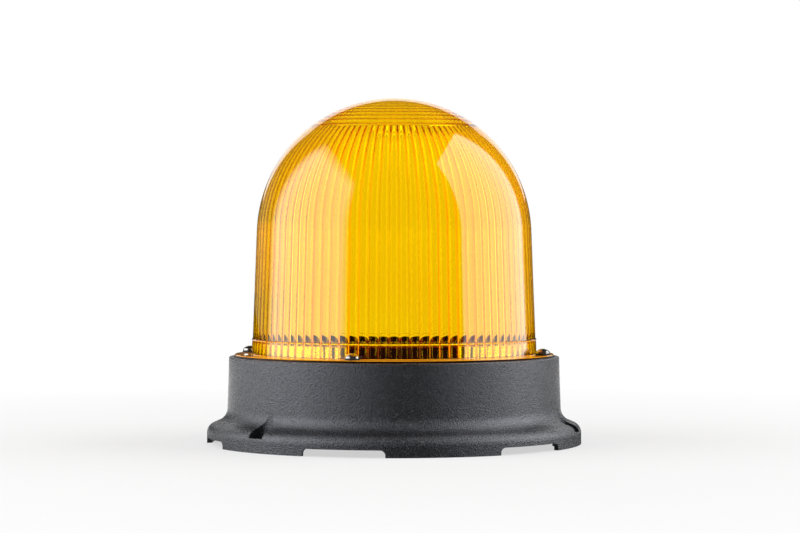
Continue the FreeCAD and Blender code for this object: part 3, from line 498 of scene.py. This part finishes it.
# screws: pan head, cross recess (width, reach, depth), rolled thread; seat and length as in the CAD
largeScrew = {"shank": 0.00175, "head": 0.0035, "rise": 0.0026, "recess": (0.0010, 0.0020, 0.0013)}
smallScrew = {"shank": 0.0015, "head": 0.0026, "rise": 0.0019, "recess": (0.0008, 0.0015, 0.0010)}
screwForms = {
    "lensScrews": {"node": "lens_screws", "body": "lens", "turns": (0, 90, 180, 270), "length": 0.020,
                   **largeScrew},
    "plateScrews": {"node": "plate_screws", "body": "base", "turns": (45, 135, 225, 315), "length": 0.014,
                    "flip": True, **largeScrew},
    "carrierScrews": {"node": "carrier_screws", "body": "base", "turns": (45, 135, 225, 315), "length": 0.008,
                      **smallScrew},
    "lightBoardScrews": {"node": "led_board_screws", "body": "base", "turns": (0, 120, 240), "length": 0.008,
                         **smallScrew},
    "supplyBoardScrews": {"node": "board_screws", "body": "base", "turns": (85, -85, 150, -150),
                          "length": 0.008, **smallScrew},
}
headForm = {"side": 0.42, "edge": 0.04, "round": 36, "crownSteps": 6, "taper": (0.55, 0.7),
            "firstTurn": 27, "nextTurn": 61, "sharpAngle": 35}
threadForm = {"pitch": 0.0011, "core": 0.76, "plain": 0.0012, "steps": 18, "start": 0.3,
              "crest": (0.42, 0.58), "tip": 0.0008, "tipWidth": 0.5}


def screwHead(form):
    h = headForm
    head, rise = form["head"], form["rise"]
    dome = rise - rise * h["side"]  # the crown above the straight side
    crown = (head ** 2 + dome ** 2) / (2 * dome)
    tilt = math.degrees(math.asin(head / crown))
    line = [(0, 0), (head * (1 - h["edge"]), 0), (head, head * h["edge"])]
    line += arc((0, rise - crown), crown, 90 - tilt, 90, h["crownSteps"])
    line[-1] = (0, rise)
    bm = bmesh.new()
    lathe(bm, line, h["round"])
    seal(bm)
    width, reach, depth = form["recess"]
    slots = []
    for k in range(2):
        slot = bmesh.new()
        bmesh.ops.create_cube(slot, size=1, matrix=Matrix.Diagonal((2 * reach, width, 2 * depth, 1)))
        for vert in slot.verts:
            if vert.co.z < 0:
                vert.co.x *= h["taper"][0]
                vert.co.y *= h["taper"][1]
        turned = Matrix.Rotation(math.pi / 2 * k, 3, "Z")
        bmesh.ops.rotate(slot, verts=slot.verts, cent=(0, 0, 0), matrix=turned)
        bmesh.ops.translate(slot, verts=slot.verts, vec=(0, 0, rise))
        slots.append(slot)
    return cutAway(bm, slots)


def oneScrew(form):
    t = threadForm
    bm = screwHead(form)
    shank, length = form["shank"], form["length"]
    core = shank * t["core"]
    line = [(0, 0), (shank, 0), (shank, -t["plain"]), (core, -t["plain"] - (shank - core))]
    line += [(core, t["tip"] - length), (core * t["tipWidth"], -length), (0, -length)]
    lathe(bm, line, t["steps"])
    coils = int((length - t["plain"] - t["tip"]) / t["pitch"]) - 1
    drop = t["pitch"] / t["steps"]
    start = -t["plain"] - t["start"] * t["pitch"]
    ridge = ((core, 0), (shank, t["crest"][0]), (shank, t["crest"][1]), (core, 1))
    verts = [bm.verts.new((radius, 0, start - t["pitch"] * share)) for radius, share in ridge]
    edges = [bm.edges.new(pair) for pair in zip(verts, verts[1:])]
    bmesh.ops.spin(bm, geom=verts + edges, cent=(0, 0, 0), axis=zAxis, dvec=(0, 0, -drop),
                   angle=2 * math.pi * coils, steps=t["steps"] * coils, use_merge=False)
    seal(bm)
    return bm


def screwCircle(node, turns, head):
    low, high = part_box(node)
    widest = max(turns, key=lambda angle: abs(math.cos(math.radians(angle))))
    share = math.cos(math.radians(widest))
    return ((high.x if share > 0 else -low.x) - head) / abs(share)


def buildScrews(name, form):
    h = headForm
    low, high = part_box(form["node"])
    circle = screwCircle(form["node"], form["turns"], form["head"])
    seat = low.z + form["rise"] if form.get("flip") else high.z - form["rise"]
    screw = oneScrew(form)
    if form.get("flip"):
        bmesh.ops.rotate(screw, verts=screw.verts, cent=(0, 0, 0), matrix=Matrix.Rotation(math.pi, 3, "X"))
    mesh = bpy.data.meshes.new(name)
    bm = bmesh.new()
    for k, angle in enumerate(form["turns"]):
        copy = screw.copy()
        driven = Matrix.Rotation(math.radians(h["firstTurn"] + h["nextTurn"] * k), 4, "Z")  # each its own way
        place = Matrix.Rotation(math.radians(angle), 4, "Z") @ Matrix.Translation((circle, 0, seat))
        bmesh.ops.transform(copy, matrix=place @ driven, verts=copy.verts)
        copy.to_mesh(mesh)
        copy.free()
        bm.from_mesh(mesh)
    screw.free()
    bpy.data.meshes.remove(mesh)
    makePiece(name, bm, "screwSteel", form["body"], [form["node"]], h["sharpAngle"])


for name, form in screwForms.items():
    buildScrews(name, form)


# studio: pale floor, white all round for the camera, two tall side boxes, one behind, one overhead
cameraForm = {"turn": 15.0, "distance": 1.225, "height": 0.098, "aimRight": 0.003, "aimHeight": 0.0897,
              "focal": 108.0, "sensor": 36}
boxForms = {
    "foot": 0.02, "through": 1.6,
    "rightBox": {"side": 0.75, "front": 0.53, "back": -0.70, "top": 1.38,
                 "softFront": 0.02, "softBack": 0.1, "softTop": 0.03, "radiance": 3.25},
    "leftBox": {"side": -0.75, "front": 1.0, "back": -0.45, "top": 1.15,
                "softFront": 0.2, "softBack": 0.2, "softTop": 0.25, "radiance": 3.55},
    "rearBox": {"back": -1.6, "low": 0.3, "high": 1.0, "width": 1.5, "radiance": 1.2},
    "topBox": {"height": 1.7, "size": 1.1, "radiance": 0.35},
}
worldForm = {"fill": 0.35, "frontGloss": 0.03, "backGloss": 0.2, "glossLean": 0.75, "glossRange": (0.94, 1.0),
             "ledOnce": 1.0, "ledThrough": 0.45, "ledDepths": (1.0, 3.0), "ledRise": 0.5,
             "ledRange": (-0.5, 0.0)}
floorForm = {"size": 4.0, "pale": 0.6, "bounce": 0.16, "rough": 0.8, "specular": 0.1, "gloss": (0.1, 1.7),
             "glossReach": (0.0, 0.45), "glossEnd": (0.8, 1.1), "nearWhite": 0.6, "whiteReach": (0.14, 0.5)}
turn = math.radians(cameraForm["turn"])
towardCamera = Vector((math.sin(turn), -math.cos(turn), 0))
cameraRight = Vector((math.cos(turn), math.sin(turn), 0))
backLeft = (-towardCamera - cameraRight * worldForm["glossLean"]).normalized()


# 1 for what the camera sees itself or straight through the lens, 0 for light that has bounced
def plainSight(tree):
    path = add(tree, "ShaderNodeLightPath").outputs
    bounced = calc(tree, "ADD", path["Glossy Depth"], path["Diffuse Depth"])
    straight = calc(tree, "LESS_THAN", bounced, 0.5)
    through = calc(tree, "MULTIPLY", straight, path["Is Transmission Ray"])
    return calc(tree, "MAXIMUM", through, path["Is Camera Ray"])


def buildCamera():
    form = cameraForm
    data = bpy.data.cameras.new("photoCamera")
    data.lens = form["focal"]
    data.sensor_width = form["sensor"]
    camera = bpy.data.objects.new("photoCamera", data)
    bpy.context.scene.collection.objects.link(camera)
    camera.location = towardCamera * form["distance"] + zAxis * form["height"]
    aim = cameraRight * form["aimRight"] + zAxis * form["aimHeight"]
    camera.rotation_mode = "QUATERNION"
    camera.rotation_quaternion = (aim - camera.location).to_track_quat("-Z", "Y")
    bpy.context.scene.camera = camera


# a box is at full strength in reflections, and dimmer where its light comes through the lens;
# fades: an axis, and the two places along it between which the box comes up to full
def softBox(name, place, facing, width, height, radiance, fades=()):
    data = bpy.data.lights.new(name, "AREA")
    data.shape = "RECTANGLE"
    data.size = width
    data.size_y = height
    data.energy = radiance * math.pi * width * height
    lamp = bpy.data.objects.new(name, data)
    bpy.context.scene.collection.objects.link(lamp)
    lamp.location = place
    lamp.rotation_mode = "QUATERNION"
    lamp.rotation_quaternion = facing.to_track_quat("-Z", "Y")
    lamp.visible_camera = False
    data.use_nodes = True
    tree = data.node_tree
    path = add(tree, "ShaderNodeLightPath").outputs
    clear = calc(tree, "LESS_THAN", path["Diffuse Depth"], 0.5)
    once = calc(tree, "COMPARE", path["Glossy Depth"], 1.0, 0.5)
    through = calc(tree, "MULTIPLY", path["Transmission Depth"], calc(tree, "SUBTRACT", clear, once))
    level = spread(tree, through, 1.0, boxForms["through"] / radiance, 0.0, 1.0)
    spot = add(tree, "ShaderNodeNewGeometry").outputs["Position"]
    for axis, start, full in fades:
        along = vectorCalc(tree, "DOT_PRODUCT", spot, axis)
        level = calc(tree, "MULTIPLY", level, spread(tree, along, 0.0, 1.0, start, full))
    feed(tree, tree.nodes["Emission"], {"Strength": level})
    return lamp


def sideBox(name):
    form = boxForms[name]
    front, back, bottom, top = form["front"], form["back"], boxForms["foot"], form["top"]
    middle = cameraRight * form["side"] + towardCamera * (front + back) / 2 + zAxis * (bottom + top) / 2
    facing = cameraRight * (-1 if form["side"] > 0 else 1)
    fades = [(towardCamera, back, back + form["softBack"]),
             (-towardCamera, -front, form["softFront"] - front),
             (-zAxis, -top, form["softTop"] - top)]
    softBox(name, middle, facing, front - back, top - bottom, form["radiance"], fades)


def buildBoxes():
    sideBox("rightBox")
    sideBox("leftBox")
    form = boxForms["topBox"]
    over = softBox("topBox", zAxis * form["height"], -zAxis, form["size"], form["size"], form["radiance"])
    over.visible_glossy = False
    form = boxForms["rearBox"]
    place = towardCamera * form["back"] + zAxis * (form["low"] + form["high"]) / 2
    softBox("rearBox", place, towardCamera, form["width"], form["high"] - form["low"], form["radiance"])


# the surround: fill for matt faces, a bright patch at back left in reflections, light led along the lens wall
# from behind, and plain white in plain sight
def buildWorld():
    form = worldForm
    world = bpy.data.worlds.new("studio")
    bpy.context.scene.world = world
    world.use_nodes = True
    tree = world.node_tree
    path = add(tree, "ShaderNodeLightPath").outputs
    direction = add(tree, "ShaderNodeTexCoord").outputs["Generated"]
    backward = vectorCalc(tree, "DOT_PRODUCT", direction, backLeft)
    gloss = spread(tree, backward, form["frontGloss"], form["backGloss"], *form["glossRange"])
    away = (zAxis * form["ledRise"] - towardCamera).normalized()
    behind = vectorCalc(tree, "DOT_PRODUCT", direction, away)
    led = spread(tree, path["Glossy Depth"], form["ledOnce"], form["ledThrough"], *form["ledDepths"])
    led = mixValue(tree, spread(tree, behind, 0.0, 1.0, *form["ledRange"]), form["frontGloss"], led)
    strength = form["fill"]
    levels = ((path["Glossy Depth"], gloss), (path["Is Transmission Ray"], led), (plainSight(tree), 1.0))
    for share, level in levels:
        strength = mixValue(tree, calc(tree, "MINIMUM", share, 1.0), strength, level)
    feed(tree, tree.nodes["Background"], {"Strength": strength, "Color": (1, 1, 1, 1)})


# the floor is white paper to the camera; in reflections it is brighter at the back and ends soon
def buildFloor():
    form = floorForm
    bm = bmesh.new()
    bmesh.ops.create_grid(bm, x_segments=1, y_segments=1, size=form["size"])
    mesh = bpy.data.meshes.new("studioFloor")
    bm.to_mesh(mesh)
    bm.free()
    floor = bpy.data.objects.new("studioFloor", mesh)
    bpy.context.scene.collection.objects.link(floor)
    material, tree, surface = newMaterial("floorPaper")
    coords = objectCoords(tree)
    distance = vectorCalc(tree, "LENGTH", coords)
    seen = plainSight(tree)
    pale = spread(tree, seen, form["bounce"], form["pale"], 0.0, 1.0)
    feed(tree, surface, {"Base Color": pale, "Roughness": form["rough"],
                         "Specular IOR Level": form["specular"]})
    mirrored = calc(tree, "MINIMUM", add(tree, "ShaderNodeLightPath").outputs["Glossy Depth"], 1.0)
    along = vectorCalc(tree, "DOT_PRODUCT", coords, backLeft)
    near = spread(tree, distance, 1.0, 0.0, *form["glossEnd"])
    gloss = calc(tree, "MULTIPLY", spread(tree, along, *form["gloss"], *form["glossReach"]), near)
    strength = mixValue(tree, mirrored, 1.0, gloss)
    white = add(tree, "ShaderNodeEmission", {"Color": (1, 1, 1, 1), "Strength": strength}).outputs["Emission"]
    far = spread(tree, distance, form["nearWhite"], 1.0, *form["whiteReach"])
    share = calc(tree, "MAXIMUM", calc(tree, "MULTIPLY", far, seen), mirrored)
    both = add(tree, "ShaderNodeMixShader", {0: share, 1: surface.outputs["BSDF"], 2: white})
    feed(tree, tree.nodes["Material Output"], {"Surface": both.outputs["Shader"]})
    mesh.materials.append(material)


buildCamera()
buildBoxes()
buildWorld()
buildFloor()
bpy.context.scene.view_settings.view_transform = "Standard"
cycles = bpy.context.scene.cycles  # light is led far along the fluted wall
cycles.max_bounces = 32
cycles.glossy_bounces = 24
cycles.transmission_bounces = 24
print("studio ready")
